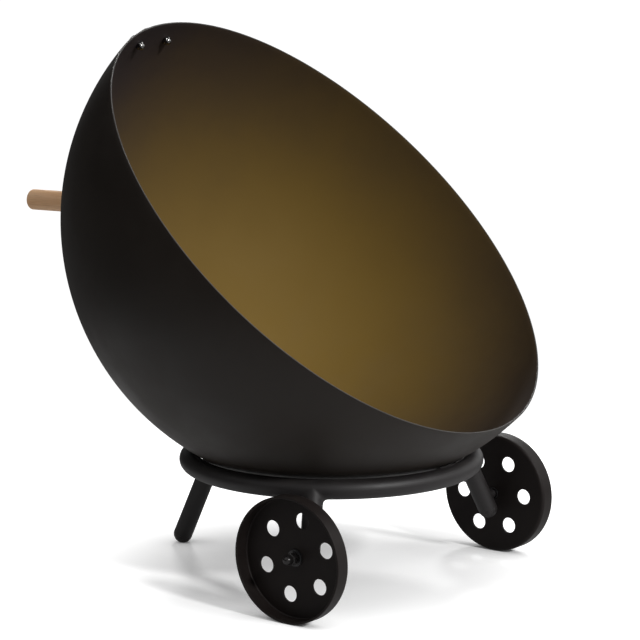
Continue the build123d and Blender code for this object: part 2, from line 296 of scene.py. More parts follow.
# %% Paints of the bowl, the stand and the wheels
coat_outside = paint(
    "bowl_coat_outside",
    dark=(0.0125, 0.0092, 0.0070, 1),
    light=(0.0168, 0.0128, 0.0100, 1),
    roughness=(0.46, 0.56),
    specular=0.19,
    peel=(1100.0, 0.25),
    wear=(0.0010, 0.12),
    dust=0.05,
)
tube_values = {
    "dark": (0.0085, 0.0070, 0.0072, 1),
    "light": (0.0118, 0.0100, 0.0102, 1),
    "roughness": (0.46, 0.56),
    "specular": 0.36,
    "peel": (1400.0, 0.20),
    "dust": 0.06,
}
tube_paint = paint("stand_paint", wear=(0.0010, 0.15), **tube_values)
weld_paint = paint("weld_paint", wear=(0.0010, 0.0), **tube_values)
wheel_paint = paint(
    "wheel_paint",
    dark=(0.0084, 0.0062, 0.0056, 1),
    light=(0.0112, 0.0086, 0.0080, 1),
    roughness=(0.45, 0.56),
    specular=0.12,
    peel=(1300.0, 0.18),
    wear=(0.0009, 0.12),
    dust=0.04,
)
print("paints", coat_outside.name, tube_paint.name, weld_paint.name, wheel_paint.name)

# %% [markdown]
# ## The coat inside the bowl
# The inside is near black towards the rim, with a wide olive brown patch on the back wall. The patch is
# mostly painted warm light falling on the black coat, and partly the brown of a coat that heat has baked. It
# is made as a coat that heat has baked, which is a guess, because warm light on a black wall would look much
# the same. It is a soft ball of colour round a point on the wall, measured in the bowl's own Object
# coordinates. It could be painted by hand, but a ball needs no unwrapping and follows the wall without a
# seam.

# %% Inside coat with a painted glow
coat_inside, tree, shader = new_material("bowl_coat_inside")
texture = use_group(tree, paint_texture, Peel_scale=900.0, Blotch_scale=6.0)
glow_centre = globe_centre + Vector((0.134, 0.163, -0.120))
where = tree.nodes.new("ShaderNodeTexCoord").outputs["Object"]
away = vector_math(tree, "DISTANCE", where, glow_centre)
uneven = math_node(tree, "MULTIPLY", math_node(tree, "SUBTRACT", texture["Blotch"], 0.5), 0.03)
glow_core, glow_edge = 0.05, 0.42
# This mask paints a pool of warm light on the back wall, strongest at its middle and fading outwards.
painted_glow_mask = map_range(tree, math_node(tree, "ADD", away, uneven), glow_core, glow_edge, 1.0, 0.0)
sooty_coat = (0.0275, 0.0222, 0.0250, 1)
# The olive is mostly the colour of the painted warm light, with some of the coat's own baked brown in it.
glow_and_baked_colour = (0.158, 0.097, 0.018, 1)
soot_colour = (0.10, 0.09, 0.075, 1)
colour = mix_colour(tree, painted_glow_mask, sooty_coat, glow_and_baked_colour)
soot = use_group(tree, settled_dust, Amount=0.10, Scale=14.0)["Mask"]
colour = mix_colour(tree, soot, colour, soot_colour)
rough = map_range(tree, texture["Blotch"], 0.0, 1.0, 0.6, 0.72)
finish_shader(tree, shader, colour, rough, (texture["Height"], 0.3, 0.2 * mm), specular=0.12)
print("middle of the olive patch", [round(c, 3) for c in glow_centre])

# %% [markdown]
# ## The cut edge of the rim
# The rim was sheared and ground, and paint holds badly on so thin an edge, so it shows as a
# fine line a little lighter than the coat all round the mouth. Solidify can give the rim a
# material of its own, so the line needs no mask.

# %% Rim edge
rim_edge, tree, shader = new_material("rim_edge")
texture = use_group(tree, paint_texture, Peel_scale=700.0, Blotch_scale=40.0)
rim_dark = (0.016, 0.0145, 0.013, 1)
rim_light = (0.034, 0.031, 0.028, 1)
colour = mix_colour(tree, texture["Blotch"], rim_dark, rim_light)
rough = map_range(tree, texture["Blotch"], 0.0, 1.0, 0.35, 0.5)
finish_shader(tree, shader, colour, rough, (texture["Height"], 0.4, 0.2 * mm), specular=0.25)
print("material", rim_edge.name)

# %% [markdown]
# ## Turned and rolled metal
# Screws, nuts and washers are bare or blackened metal with fine tool marks. The marks are a
# noise stretched into thin lines across one axis, kept shallow so that they only spread the
# highlight.

# %% The metal recipe
worn_metal = (0.55, 0.54, 0.52, 1)


def metal(name, dark, light, roughness, metallic, marks, wear=0.6):
    material, tree, shader = new_material(name)
    where = tree.nodes.new("ShaderNodeTexCoord").outputs["Object"]
    stretched = add_node(tree, "ShaderNodeMapping", {"Vector": where, "Scale": marks}).outputs[0]
    line = add_node(tree, "ShaderNodeTexNoise", {"Vector": stretched, "Scale": 400.0, "Detail": 4.0})
    texture = use_group(tree, paint_texture, Peel_scale=1800.0, Blotch_scale=90.0)
    worn = use_group(tree, edge_wear, Width=0.0006, Amount=wear)["Mask"]
    colour = mix_colour(tree, texture["Blotch"], dark, light)
    colour = mix_colour(tree, worn, colour, worn_metal)
    rough = map_range(tree, line.outputs[0], 0.3, 0.7, roughness[0], roughness[1])
    finish_shader(tree, shader, colour, rough, (line.outputs[0], 0.25, 0.1 * mm), specular=0.5)
    shader.inputs["Metallic"].default_value = metallic
    return material


print("metal recipe ready")

# %% [markdown]
# ### The metals and the bush plastic
# The screws and their washers are zinc plated, the hardware on the axles is blackened, and
# the two dome nuts inside the rim are polished. The black plastic of the bushes has the same
# fine marks, so it comes from the same recipe with its metallic value at nought.

# %% Metals and bush plastic
turned_marks = (6, 1, 1)
spun_marks = (1, 1, 6)
zinc = metal(
    "zinc_plated_steel",
    dark=(0.42, 0.42, 0.43, 1),
    light=(0.62, 0.62, 0.62, 1),
    roughness=(0.22, 0.36),
    metallic=1.0,
    marks=spun_marks,
)
black_steel = metal(
    "blackened_steel",
    dark=(0.014, 0.013, 0.013, 1),
    light=(0.028, 0.026, 0.026, 1),
    roughness=(0.22, 0.34),
    metallic=0.6,
    marks=turned_marks,
    wear=0.15,
)
polished = metal(
    "polished_dome_steel",
    dark=(0.16, 0.155, 0.15, 1),
    light=(0.24, 0.235, 0.23, 1),
    roughness=(0.10, 0.16),
    metallic=1.0,
    marks=spun_marks,
)
bush_plastic = metal(
    "bush_plastic",
    dark=(0.012, 0.012, 0.013, 1),
    light=(0.02, 0.02, 0.021, 1),
    roughness=(0.4, 0.55),
    metallic=0.0,
    marks=turned_marks,
    wear=0.05,
)
print("metals", zinc.name, black_steel.name, polished.name, bush_plastic.name)

# %% [markdown]
# ## Wood for the handle
# The bar is a plain hardwood dowel with an oiled, pale pinkish tan face. The grain runs along
# the bar, so the coordinates are first turned to the bar and then squeezed along it, which
# draws both the fine pores and the slower growth bands out into long streaks.

# %% Handle wood
handle_wood, tree, shader = new_material("handle_wood")
where = tree.nodes.new("ShaderNodeTexCoord").outputs["Object"]
grain_turn = -atan2(handle_out.y, handle_out.x)
along = add_node(tree, "ShaderNodeMapping", {"Vector": where, "Rotation": (0, 0, grain_turn)}).outputs[0]
band_space = add_node(tree, "ShaderNodeMapping", {"Vector": along, "Scale": (5, 70, 70)}).outputs[0]
pore_space = add_node(tree, "ShaderNodeMapping", {"Vector": along, "Scale": (35, 900, 900)}).outputs[0]
band_inputs = {"Vector": band_space, "Scale": 1.0, "Detail": 3.0, "Distortion": 0.6}
band = add_node(tree, "ShaderNodeTexNoise", band_inputs)
pore_inputs = {"Vector": pore_space, "Scale": 1.0, "Detail": 5.0, "Roughness": 0.65}
pore = add_node(tree, "ShaderNodeTexNoise", pore_inputs)
band_mask = map_range(tree, band.outputs[0], 0.35, 0.65)
pore_mask = map_range(tree, pore.outputs[0], 0.50, 0.72)
wood_dark = (0.84, 0.47, 0.235, 1)
wood_light = (0.93, 0.60, 0.35, 1)
pore_colour = (0.46, 0.22, 0.095, 1)
pore_share = 0.38
colour = mix_colour(tree, band_mask, wood_dark, wood_light)
colour = mix_colour(tree, math_node(tree, "MULTIPLY", pore_mask, pore_share), colour, pore_colour)
rough = map_range(tree, pore_mask, 0.0, 1.0, 0.48, 0.66)
pore_relief = (pore.outputs[0], 0.35, 0.3 * mm)
finish_shader(tree, shader, colour, rough, pore_relief, specular=0.5, invert=True)
print("material", handle_wood.name)

# %% [markdown]
# ## Making meshes
# Two ways of making a mesh are enough here: Geometry Nodes for what follows a rule or a path,
# and bmesh for what is turned or cut. Either way a piece ends as a plain mesh with its
# materials, smooth faces and sharp edges, and the first helpers see to that.

# %% Helpers for every mesh
def link(name, mesh, materials):
    piece = bpy.data.objects.new(name, mesh)
    scene.collection.objects.link(piece)
    mesh.materials.clear()
    for material in materials:
        mesh.materials.append(material)
    return piece


def shade(mesh, angle=35):
    mesh.shade_smooth()
    mesh.set_sharp_from_angle(angle=radians(angle))


def settle(piece):
    """Turn a piece with modifiers into a plain mesh."""
    depsgraph = bpy.context.evaluated_depsgraph_get()
    mesh = bpy.data.meshes.new_from_object(piece.evaluated_get(depsgraph), depsgraph=depsgraph)
    piece.modifiers.clear()
    piece.data = mesh


print("mesh helpers ready")

# %% [markdown]
# ### Growing a piece from a node tree
# A geometry tree runs as a modifier on an empty mesh. `grow` sets its inputs, keeps the result
# as a plain mesh and moves that to its place, so that nothing live is left on the piece.

# %% Helpers for geometry trees
def grow(name, tree, values, place=Matrix()):
    """Run a geometry tree and keep its result as a plain mesh in its place."""
    piece = bpy.data.objects.new(name, bpy.data.meshes.new(name))
    scene.collection.objects.link(piece)
    modifier = piece.modifiers.new("grow", "NODES")
    modifier.node_group = tree
    for item in tree.interface.items_tree:
        if item.item_type == "SOCKET" and item.in_out == "INPUT" and item.name in values:
            modifier[item.identifier] = values[item.name]
    settle(piece)
    piece.data.transform(place)
    piece.data.materials.clear()
    piece.data.materials.append(values["Material"])
    return piece


def geometry_tree(name, inputs):
    tree = bpy.data.node_groups.new(name, "GeometryNodeTree")
    sockets(tree, "INPUT", {"Geometry": ("Geometry", None), **inputs, "Material": ("Material", None)})
    sockets(tree, "OUTPUT", {"Geometry": ("Geometry", None)})
    return tree, tree.nodes.new("NodeGroupInput").outputs


def circle_curve(tree, resolution, radius):
    inputs = {"Resolution": resolution, "Radius": radius}
    return add_node(tree, "GeometryNodeCurvePrimitiveCircle", inputs).outputs[0]


def end_tree(tree, geometry, material):
    whole = add_node(tree, "GeometryNodeRealizeInstances", {"Geometry": geometry}).outputs[0]
    painted = add_node(tree, "GeometryNodeSetMaterial", {"Geometry": whole, "Material": material})
    tree.links.new(painted.outputs[0], tree.nodes.new("NodeGroupOutput").inputs[0])


print("tree helpers ready")

# %% [markdown]
# ### Spinning a profile
# Legs, nuts and the handle bar are round, so `lathe` spins a profile of points about an axis,
# as a turner would cut it. A point may also ask for six flats instead of a circle, which gives
# a nut its shape. A spin can turn a shape inside out, so its normals are worked out again at
# the end.

# %% Helpers for turned pieces
def lathe(name, profile, materials, place=Matrix(), segments=64, angle=35):
    """Spin (radius, height) points about z. A third value of "hex" makes that ring six-sided."""
    build = bmesh.new()
    rings = []
    for radius, height, *shape in profile:
        if radius == 0:
            rings.append([build.verts.new((0, 0, height))] * segments)
            continue
        ring = []
        for step in range(segments):
            turn = 2 * pi * step / segments
            reach = radius / cos((turn + pi / 6) % (pi / 3) - pi / 6) if shape else radius
            ring.append(build.verts.new((reach * cos(turn), reach * sin(turn), height)))
        rings.append(ring)
    for low, high in zip(rings, rings[1:]):
        for step in range(segments):
            after = (step + 1) % segments
            corners = [low[step], low[after], high[after], high[step]]
            build.faces.new(list(dict.fromkeys(corners)))
    bmesh.ops.recalc_face_normals(build, faces=build.faces)
    mesh = bpy.data.meshes.new(name)
    build.to_mesh(mesh)
    build.free()
    mesh.transform(place)
    shade(mesh, angle)
    return link(name, mesh, materials)


def arc(centre, radius, start, end, steps):
    """Points of an arc in a profile, from one angle in degrees to another."""
    turns = [radians(start + (end - start) * step / steps) for step in range(steps + 1)]
    return [(centre[0] + radius * cos(turn), centre[1] + radius * sin(turn)) for turn in turns]


def axes_place(origin, x_axis, y_axis, z_axis):
    """Matrix that puts a piece's own axes along three directions at a point."""
    place = Matrix((x_axis, y_axis, z_axis)).transposed().to_4x4()
    place.translation = origin
    return place


print("lathe ready")

# %% [markdown]
# ## The bowl shell
# Half a globe follows one rule, a latitude and a longitude, so it is grown from a flat grid:
# every point of the grid is moved to the place on the globe that its two coordinates name.
# The seam and the pole then close by distance. Spinning would also do, but this way the tree
# keeps the radius and the fineness as inputs.

# %% Half a globe from a grid
half_globe, given = geometry_tree(
    "half_globe", {"Radius": ("Float", 0.3), "Around": ("Int", 240), "Rings": ("Int", 72)}
)
tree = half_globe
grid = add_node(
    tree,
    "GeometryNodeMeshGrid",
    {
        "Size X": 1.0,
        "Size Y": 1.0,
        "Vertices X": math_node(tree, "ADD", given["Around"], 1.0),
        "Vertices Y": math_node(tree, "ADD", given["Rings"], 1.0),
    },
).outputs["Mesh"]
position = tree.nodes.new("GeometryNodeInputPosition").outputs[0]
flat_place = add_node(tree, "ShaderNodeSeparateXYZ", {0: position}).outputs
longitude = math_node(tree, "MULTIPLY", math_node(tree, "ADD", flat_place["X"], 0.5), 2 * pi)
latitude = math_node(tree, "MULTIPLY", math_node(tree, "ADD", flat_place["Y"], 0.5), pi / 2)
reach = math_node(tree, "MULTIPLY", math_node(tree, "SINE", latitude), given["Radius"])
depth = math_node(tree, "MULTIPLY", math_node(tree, "COSINE", latitude), given["Radius"])
on_globe = add_node(
    tree,
    "ShaderNodeCombineXYZ",
    {
        "X": math_node(tree, "MULTIPLY", reach, math_node(tree, "COSINE", longitude)),
        "Y": math_node(tree, "MULTIPLY", reach, math_node(tree, "SINE", longitude)),
        "Z": math_node(tree, "MULTIPLY", depth, -1.0),
    },
).outputs[0]
bent = add_node(tree, "GeometryNodeSetPosition", {"Geometry": grid, "Position": on_globe}).outputs[0]
sewn = add_node(tree, "GeometryNodeMergeByDistance", {"Geometry": bent, "Distance": 1e-5}).outputs[0]
end_tree(tree, sewn, given["Material"])
print("tree", tree.name, "has", len(tree.nodes), "nodes")

# %% [markdown]
# ### From skin to sheet steel
# Solidify gives the sheet its thickness inwards, with the inside and the cut rim in materials
# of their own, and a small bevel breaks the rim. It goes by the way the faces point, so they
# are made to point outwards first.

# %% Bowl sheet
rim_bevel = 0.6 * mm
bowl = grow("bowl_sheet", half_globe, {"Radius": bowl_radius, "Material": coat_outside}, bowl_place)
build = bmesh.new()
build.from_mesh(bowl.data)
build.faces.ensure_lookup_table()
outward = build.faces[0].normal.dot(build.faces[0].calc_center_median() - globe_centre) > 0
if not outward:
    bmesh.ops.reverse_faces(build, faces=build.faces)
build.to_mesh(bowl.data)
build.free()
for material in (coat_inside, rim_edge):
    bowl.data.materials.append(material)
sheet = bowl.modifiers.new("sheet", "SOLIDIFY")
sheet.thickness = bowl_wall
sheet.offset = -1
sheet.material_offset = 1
sheet.material_offset_rim = 2
edge = bowl.modifiers.new("rim", "BEVEL")
edge.width = rim_bevel
edge.segments = 3
edge.limit_method = "ANGLE"
edge.angle_limit = radians(50)
settle(bowl)
shade(bowl.data, 50)
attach(bowl, "bowl")
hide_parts("bowl_shell")
print("bowl sheet", len(bowl.data.polygons), "faces")

# %% [markdown]
# ## The ring
# A ring of tube is a circle swept round a circle. In Geometry Nodes that is two curve circles
# and Curve to Mesh, with the two radii as the only inputs. Its normals are worked out again
# afterwards, so that the tube's skin faces outwards whichever way the circles run.

# %% Ring of tube
tube_ring, given = geometry_tree(
    "tube_ring", {"Ring radius": ("Float", 0.16), "Tube radius": ("Float", 0.011)}
)
tree = tube_ring
ring_segments, tube_segments = 200, 40
rail = circle_curve(tree, ring_segments, given["Ring radius"])
section = circle_curve(tree, tube_segments, given["Tube radius"])
swept = add_node(tree, "GeometryNodeCurveToMesh", {"Curve": rail, "Profile Curve": section})
end_tree(tree, swept.outputs[0], given["Material"])
ring = grow(
    "ring_tube",
    tube_ring,
    {"Ring radius": ring_radius, "Tube radius": tube_radius, "Material": tube_paint},
    Matrix.Translation(ring_centre),
)
build = bmesh.new()
build.from_mesh(ring.data)
bmesh.ops.recalc_face_normals(build, faces=build.faces)
build.to_mesh(ring.data)
build.free()
shade(ring.data, 50)
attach(ring, "stand")
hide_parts("stand_ring")
print("ring", len(ring.data.polygons), "faces")

# %% [markdown]
# ## The legs
# Each leg is a straight tube closed by a domed plug. Both are turned shapes, so they are spun
# from a profile along the leg. The length comes from the leg's box: the lowest point of a
# leaning tube is its end, less the part that the lean hides. A hair-line joint between tube
# and plug is left in, because paint never quite bridges it.

# %% Legs and their plugs
def leg_place(name):
    turn = radians(leg_angles[name])
    out = Vector((cos(turn), sin(turn), 0))
    down = out * sin(leg_lean) - Vector((0, 0, cos(leg_lean)))
    across = Vector((-sin(turn), cos(turn), 0))
    return axes_place(ring_centre + out * ring_radius, across, down.cross(across), down)


def leg_length(name):
    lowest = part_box(name + "_leg")[0].z
    return (ring_centre.z - tube_radius * sin(leg_lean) - lowest) / cos(leg_lean)


seam = 0.25 * mm
leg_start = 0.5 * mm
plug_nodes = {"rear": "rear_foot", "left": "left_leg_cap", "right": "right_leg_cap"}
for name in leg_angles:
    length = leg_length(name)
    tube_profile = [
        (0, leg_start),
        (tube_radius, leg_start),
        (tube_radius, length - seam),
        (tube_radius - seam, length),
        (0, length),
    ]
    leg = lathe(name + "_leg_tube", tube_profile, [tube_paint], leg_place(name), 64)
    dome = [(0, length), (tube_radius - seam, length), (tube_radius, length + seam)]
    dome += [(x, length + seam + y) for x, y in arc((0, 0), tube_radius, 0, 90, 12)[1:-1]]
    dome += [(0, length + tube_radius)]
    plug = lathe(name + "_leg_plug", dome, [tube_paint], leg_place(name), 64)
    if name == "rear":
        build = bmesh.new()
        build.from_mesh(plug.data)
        everything = build.verts[:] + build.edges[:] + build.faces[:]
        cut = bmesh.ops.bisect_plane(
            build, geom=everything, plane_co=(0, 0, 0), plane_no=(0, 0, -1), clear_outer=True
        )
        bmesh.ops.holes_fill(build, edges=[e for e in cut["geom_cut"] if isinstance(e, bmesh.types.BMEdge)])
        build.to_mesh(plug.data)
        build.free()
    for piece, node in ((leg, name + "_leg"), (plug, plug_nodes[name])):
        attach(piece, "stand")
        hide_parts(node)
    print(name, "leg", round(length * 1000, 1), "mm long")

# %% [markdown]
# ## The welds
# The legs are welded to the ring, and the weld is dressed to a small hollow fillet before
# painting. Where two equal tubes meet, the joint is a saddle curve, so the fillet is built
# along that curve: at each step it starts on the leg, ends on the ring and sags between them.
# A fillet of one radius reaches as far out as half the angle between the two skins asks for,
# so it runs out to nothing at the sides, where the tubes flow into each other.

# %% A hollow fillet along the saddle
weld_radius = 6.0 * mm
weld_lift = 0.04 * mm
weld_root = 0.8 * mm
weld_steps = 96
weld_arc = 6


def ring_normal(point):
    flat = Vector((point.x - ring_centre.x, point.y - ring_centre.y, 0))
    core = ring_centre + flat.normalized() * ring_radius
    return (point - core).normalized(), core


def saddle_point(place, turn):
    """Where a straight line on the leg's skin meets the ring."""
    start = place @ Vector((tube_radius * cos(turn), tube_radius * sin(turn), 0))
    down = place.to_3x3() @ Vector((0, 0, 1))
    low, high = 0.0, 2 * tube_radius
    for _ in range(40):
        middle = (low + high) / 2
        point = start + down * middle
        inside = (point - ring_normal(point)[1]).length < tube_radius
        low, high = (middle, high) if inside else (low, middle)
    return start + down * low


def weld_section(place, turn):
    """The fillet's outline at one step: along its face from leg to ring, then the buried root."""
    point = saddle_point(place, turn)
    path = (saddle_point(place, turn + 0.01) - saddle_point(place, turn - 0.01)).normalized()
    skin = place.to_3x3() @ Vector((cos(turn), sin(turn), 0))
    down = place.to_3x3() @ Vector((0, 0, 1))
    ring_skin, _ = ring_normal(point)
    to_leg = skin.cross(path).normalized()
    to_leg *= 1 if to_leg.dot(down) > 0 else -1
    to_ring = ring_skin.cross(path).normalized()
    to_ring *= 1 if to_ring.dot(skin - down * 0.5) > 0 else -1
    ripple = 1 + 0.03 * sin(turn * 23) + 0.03 * sin(turn * 9 + 1)
    size = weld_radius * tan(skin.angle(ring_skin) / 2) * ripple
    on_leg = place.inverted() @ (point + to_leg * size)
    flat = Vector((on_leg.x, on_leg.y, 0)).normalized() * (tube_radius + weld_lift)
    on_leg = place @ Vector((flat.x, flat.y, on_leg.z))
    on_ring = point + to_ring * size
    normal, core = ring_normal(on_ring)
    on_ring = core + normal * (tube_radius + weld_lift)
    middle = point + (skin + ring_skin).normalized() * weld_lift
    face = []
    for step in range(weld_arc + 1):
        share = step / weld_arc
        blend = on_leg * (1 - share) ** 2 + middle * 2 * share * (1 - share) + on_ring * share**2
        face.append(blend)
    return [*face, point - (skin + ring_skin).normalized() * weld_root]


print("fillet of", round(weld_radius * 1000, 1), "mm in", weld_steps, "steps")

# %% [markdown]
# ### One weld for each leg
# The outlines are joined step by step into a closed loop of faces, with its root buried
# between the two tubes. Each weld is a piece of its own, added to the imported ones.

# %% Welds
for name in leg_angles:
    place = leg_place(name)
    build = bmesh.new()
    rows = []
    for step in range(weld_steps):
        rows.append([build.verts.new(p) for p in weld_section(place, 2 * pi * step / weld_steps)])
    for row, after in zip(rows, rows[1:] + rows[:1]):
        for k in range(len(row)):
            j = (k + 1) % len(row)
            build.faces.new((row[k], row[j], after[j], after[k]))
    bmesh.ops.recalc_face_normals(build, faces=build.faces)
    mesh = bpy.data.meshes.new(name + "_weld")
    build.to_mesh(mesh)
    build.free()
    shade(mesh, 60)
    weld = link(name + "_weld", mesh, [weld_paint])
    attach(weld, "stand")
    print(name, "weld", len(mesh.polygons), "faces")

# %% [markdown]
# ## The wheels
# Each wheel is a pan pressed from sheet: a flat disc with six holes, a rounded corner and a
# flange that faces outwards. The holes repeat round a circle, so Geometry Nodes lay out the
# hole curves on a ring of points, fill what is left and give it the sheet's thickness.

# %% Pierced disc
pierced_disc, given = geometry_tree(
    "pierced_disc",
    {
        "Edge radius": ("Float", 0.06),
        "Bore radius": ("Float", 0.0065),
        "Thickness": ("Float", 0.0025),
        "Holes": ("Int", 6),
        "Hole radius": ("Float", 0.0088),
        "Hole circle": ("Float", 0.0414),
        "Turn": ("Float", 0.0),
        "Segments": ("Int", 144),
    },
)
tree = pierced_disc
hole_segments = 48
edge_curve = circle_curve(tree, given["Segments"], given["Edge radius"])
bore_curve = circle_curve(tree, hole_segments, given["Bore radius"])
hole_curve = circle_curve(tree, hole_segments, given["Hole radius"])
spots = add_node(
    tree, "GeometryNodeMeshCircle", {"Vertices": given["Holes"], "Radius": given["Hole circle"]}
)
laid = add_node(
    tree, "GeometryNodeInstanceOnPoints", {"Points": spots.outputs[0], "Instance": hole_curve}
)
turn_vector = add_node(tree, "ShaderNodeCombineXYZ", {"Z": given["Turn"]}).outputs[0]
turned = add_node(tree, "GeometryNodeTransform", {"Geometry": laid.outputs[0], "Rotation": turn_vector})
holes = add_node(tree, "GeometryNodeRealizeInstances", {"Geometry": turned.outputs[0]}).outputs[0]
outlines = add_node(tree, "GeometryNodeJoinGeometry")
for curve in (edge_curve, bore_curve, holes):
    tree.links.new(curve, outlines.inputs[0])
plate = add_node(tree, "GeometryNodeFillCurve", {0: outlines.outputs[0]}).outputs[0]
lift = add_node(tree, "ShaderNodeCombineXYZ", {"Z": given["Thickness"]}).outputs[0]
thick = add_node(
    tree,
    "GeometryNodeExtrudeMesh",
    {"Mesh": plate, "Offset": lift, "Offset Scale": 1.0, "Individual": False},
)
position = tree.nodes.new("GeometryNodeInputPosition").outputs[0]
here = vector_math(tree, "MULTIPLY", position, (1, 1, 0), output="Vector")
from_axis = vector_math(tree, "LENGTH", here)
nearly_edge = math_node(tree, "MULTIPLY", given["Edge radius"], 0.995)
outermost = math_node(tree, "GREATER_THAN", from_axis, nearly_edge)
open_side = math_node(tree, "MULTIPLY", outermost, thick.outputs["Side"])
opened = add_node(
    tree,
    "GeometryNodeDeleteGeometry",
    {"Geometry": thick.outputs["Mesh"], "Selection": open_side},
    domain="FACE",
    mode="ALL",
)
back = add_node(tree, "GeometryNodeFlipFaces", {"Mesh": plate})
both = add_node(tree, "GeometryNodeJoinGeometry")
for part in (opened, back):
    tree.links.new(part.outputs[0], both.inputs[0])
end_tree(tree, both.outputs[0], given["Material"])
print("tree", tree.name, "has", len(tree.nodes), "nodes")

# %% [markdown]
# ### Places on the axles
# Wheels and nuts are made flat at the origin and then set on their axles. One function gives
# that place for either side, with z pointing away from the stand, so that the same profile
# serves left and right.

# %% Place on an axle
def hub_place(side, x):
    """Place on an axle: z points away from the stand."""
    hand = sides[side]
    return axes_place(Vector((x, hubs[side].y, hubs[side].z)), (0, 1, 0), (0, 0, hand), (hand, 0, 0))


print("axles at height", {side: round(hubs[side].z, 4) for side in sides})

# %% [markdown]
# ### From disc to wheel
# The corner and the flange are spun round the same axis with as many steps as the disc's
# edge, so the two meshes meet point to point and merge into one closed sheet. A fine bevel
# then breaks the edges of the holes, as tumbling does.

# %% Wheels
wheel_wall = 2.5 * mm
wheel_corner = 4 * mm
lip_round = 0.8 * mm
bore_radius = 6.5 * mm
hole_radius = 8.8 * mm
hole_circle = 41.4 * mm
wheel_turns = {"left": 18.9, "right": 58.4}
merge_distance = 0.02 * mm
hole_bevel = 0.35 * mm
wheel_segments = 144
for side in sides:
    low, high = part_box(side + "_wheel")
    wheel_radius = (high.z - low.z) / 2
    wheel_depth = high.x - low.x
    disc_x = high.x if side == "left" else low.x
    flat_radius = wheel_radius - wheel_corner
    inner_flange = wheel_radius - wheel_wall
    profile = arc((flat_radius, wheel_corner), wheel_corner, -90, 0, 8)
    profile += arc((wheel_radius - lip_round, wheel_depth - lip_round), lip_round, 0, 90, 4)
    profile += arc((inner_flange + lip_round, wheel_depth - lip_round), lip_round, 90, 180, 4)
    profile += arc((flat_radius, wheel_corner), wheel_corner - wheel_wall, 0, -90, 6)
    flange = lathe(side + "_flange", profile, [wheel_paint], segments=wheel_segments)
    disc = grow(
        side + "_wheel_pan",
        pierced_disc,
        {
            "Edge radius": flat_radius,
            "Bore radius": bore_radius,
            "Thickness": wheel_wall,
            "Hole radius": hole_radius,
            "Hole circle": hole_circle,
            "Turn": radians(wheel_turns[side]),
            "Segments": wheel_segments,
            "Material": wheel_paint,
        },
    )
    build = bmesh.new()
    build.from_mesh(disc.data)
    build.from_mesh(flange.data)
    bmesh.ops.remove_doubles(build, verts=build.verts, dist=merge_distance)
    bmesh.ops.recalc_face_normals(build, faces=build.faces)
    open_edges = sum(1 for e in build.edges if len(e.link_faces) != 2)
    build.to_mesh(disc.data)
    build.free()
    bpy.data.objects.remove(flange)
    bevel = disc.modifiers.new("broken_edges", "BEVEL")
    bevel.width = hole_bevel
    bevel.segments = 2
    bevel.limit_method = "ANGLE"
    bevel.angle_limit = radians(60)
    disc.data.shade_smooth()
    disc.modifiers.new("flat_faces", "WEIGHTED_NORMAL")
    settle(disc)
    disc.data.transform(hub_place(side, disc_x))
    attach(disc, side + "_wheel")
    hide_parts(side + "_wheel")
    print(side, "wheel", len(disc.data.polygons), "faces,", open_edges, "open edges")

# %% [markdown]
# ## On the axles
# Behind and in front of each wheel there are turned pieces: washers, a bearing bush and a
# dome nut. The dome nut is the one that shows, so it is spun again with six flats that run
# out into its round cap.

# %% Dome nuts
chamfer_share = 0.04


def dome_nut(name, flats, hex_height, height, dome_radius, material, place):
    half = flats / 2
    chamfer = flats * chamfer_share
    profile = [(0, 0), (half - chamfer, 0), (half, chamfer, "hex")]
    profile += [(half, hex_height - chamfer, "hex"), (half, hex_height), (dome_radius, hex_height + chamfer)]
    profile += arc((0, height - dome_radius), dome_radius, 0, 90, 12)[:-1] + [(0, height)]
    return lathe(name, profile, [material], place, 96, angle=40)


axle_nut_flats = 12 * mm
axle_nut_hex = 5.5 * mm
axle_nut_dome = 5.4 * mm
for side in sides:
    low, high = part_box(side + "_axle_nut")
    height = high.x - low.x
    foot_x = high.x if side == "left" else low.x
    place = hub_place(side, foot_x)
    nut = dome_nut(
        side + "_dome_nut", axle_nut_flats, axle_nut_hex, height, axle_nut_dome, black_steel, place
    )
    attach(nut, "stand")
    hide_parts(side + "_axle_nut")
    print(side, "dome nut", round(height * 1000, 1), "mm high")

# %% [markdown]
# ### The two nuts inside the rim
# The strap that carries the handle is screwed to the bowl from behind, and the screws end in
# small polished dome nuts just under the rim. They are turned the same way, one on each side
# of the bowl's middle line, and face the middle of the globe.

# %% Nuts of the strap's screws
strap_screw_angle = 4.9
strap_screw_spacing = 59 * mm
strap_screw_reach = 300 * mm
strap_nut_foot = 297.94 * mm
strap_nut_flats = 10 * mm
strap_nut_hex = 4 * mm
strap_nut_height = 8 * mm
strap_nut_dome = 4.5 * mm
for side, hand in sides.items():
    share = hand * strap_screw_spacing / 2 / strap_screw_reach
    out = below_rim(strap_screw_angle) * sqrt(1 - share**2) + bowl_across * share
    sideways = (bowl_across - out * share).normalized()
    turned_in = axes_place(globe_centre + out * strap_nut_foot, sideways, sideways.cross(out), -out)
    sizes = (strap_nut_flats, strap_nut_hex, strap_nut_height, strap_nut_dome)
    nut = dome_nut(side + "_strap_nut", *sizes, polished, turned_in)
    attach(nut, "bowl")
    if side == "left":
        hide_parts("strap_nuts")
    print(side, "strap nut at", [round(c, 4) for c in turned_in.translation])

# %% [markdown]
# ## The handle bar
# The handle is a round wooden bar that stands straight out from the strap at the bowl's back,
# level with the middle of the globe. It is spun along its own axis, with a well rounded end
# and a fine chamfer where it meets the strap.

